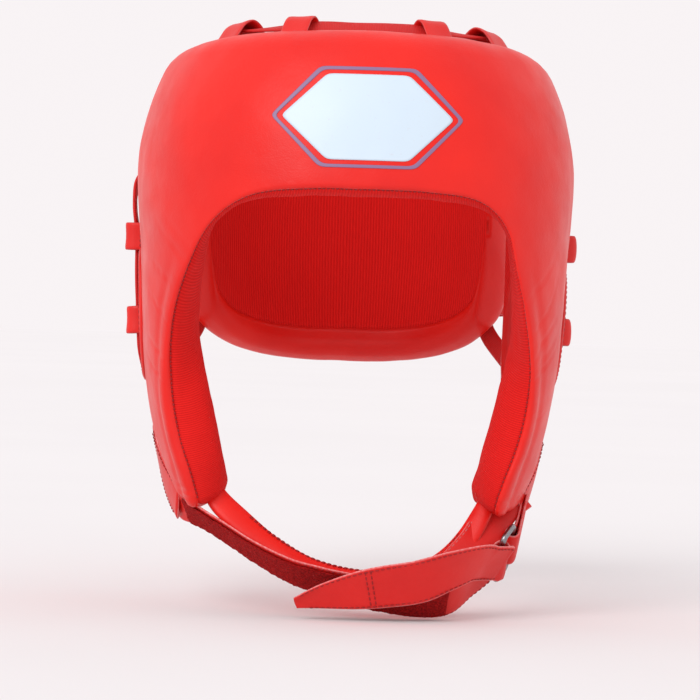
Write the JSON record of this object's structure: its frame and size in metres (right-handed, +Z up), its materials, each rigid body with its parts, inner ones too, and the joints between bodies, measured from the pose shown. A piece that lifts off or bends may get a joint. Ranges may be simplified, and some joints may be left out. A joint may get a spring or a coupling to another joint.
{
  "type": "boxing headgear",
  "caption": "Open-face boxing headgear: padded front shell with cheeks, laced rear pad and crown lace, and a chin strap that folds back through a ring.",
  "frame": {"origin": "centre of the head cavity, level with the lower edge of the brow padding", "axes": "-Y the way the wearer faces, +X the wearer's left, +Z up"},
  "size_m": [0.2172, 0.237, 0.2698],
  "materials": {
    "red_leather": "smooth semi-gloss leather",
    "strap_leather": "smooth semi-gloss leather",
    "lining": "fine ribbed knit",
    "foam": "closed-cell foam",
    "lace": "flat woven lace",
    "loop_pile": "loop pile",
    "hook_pile": "hook pile",
    "badge": "printed film",
    "ring_wire": "nickel plated wire"
  },
  "bodies": {
    "front_shell": {"front_cover": "red_leather", "front_lining": "lining", "forehead_foam": "foam", "cheek_foam_left": "foam", "cheek_foam_right": "foam", "ear_rim_left": "red_leather", "ear_rim_right": "red_leather", "forehead_badge": "badge", "front_crown_loop_inner_left": "strap_leather", "front_crown_loop_outer_left": "strap_leather", "front_crown_loop_inner_right": "strap_leather", "front_crown_loop_outer_right": "strap_leather", "side_loop_upper_left": "strap_leather", "side_loop_lower_left": "strap_leather", "side_loop_upper_right": "strap_leather", "side_loop_lower_right": "strap_leather", "chin_anchor_left": "strap_leather", "chin_anchor_right": "strap_leather", "crown_lace": "lace", "side_lace_left": "lace", "side_lace_right": "lace"},
    "rear_pad": {"rear_cover": "red_leather", "rear_foam": "foam", "rear_lining": "lining", "rear_crown_loop_inner_left": "strap_leather", "rear_crown_loop_outer_left": "strap_leather", "rear_crown_loop_inner_right": "strap_leather", "rear_crown_loop_outer_right": "strap_leather", "rear_loop_upper_left": "strap_leather", "rear_loop_lower_left": "strap_leather", "rear_loop_upper_right": "strap_leather", "rear_loop_lower_right": "strap_leather"},
    "chin_strap_body": {"chin_strap": "strap_leather", "chin_loop_patch": "loop_pile", "chin_sling": "red_leather", "chin_ring": "ring_wire", "chin_ring_loop": "strap_leather", "chin_ring_flap": "strap_leather"},
    "chin_tongue_body": {"chin_tongue": "strap_leather", "chin_hook_patch": "hook_pile"}
  },
  "joints": [
    {"name": "rear_pad_slide", "type": "slide", "parent": "front_shell", "child": "rear_pad", "axis": [0, 1, 0], "range_m": [0, 0.02], "deforming": ["crown_lace", "side_lace_left", "side_lace_right"]},
    {"name": "chin_strap_swing", "type": "hinge", "parent": "front_shell", "child": "chin_strap_body", "pos_m": [0, -0.036, -0.152], "axis": [1, 0, 0], "range_deg": [-3, 35]},
    {"name": "chin_tongue_peel", "type": "hinge", "parent": "chin_strap_body", "child": "chin_tongue_body", "pos_m": [0.069, -0.051, -0.1645], "axis": [0.0588, -0.663, 0.7463], "range_deg": [0, 110]}
  ]
}
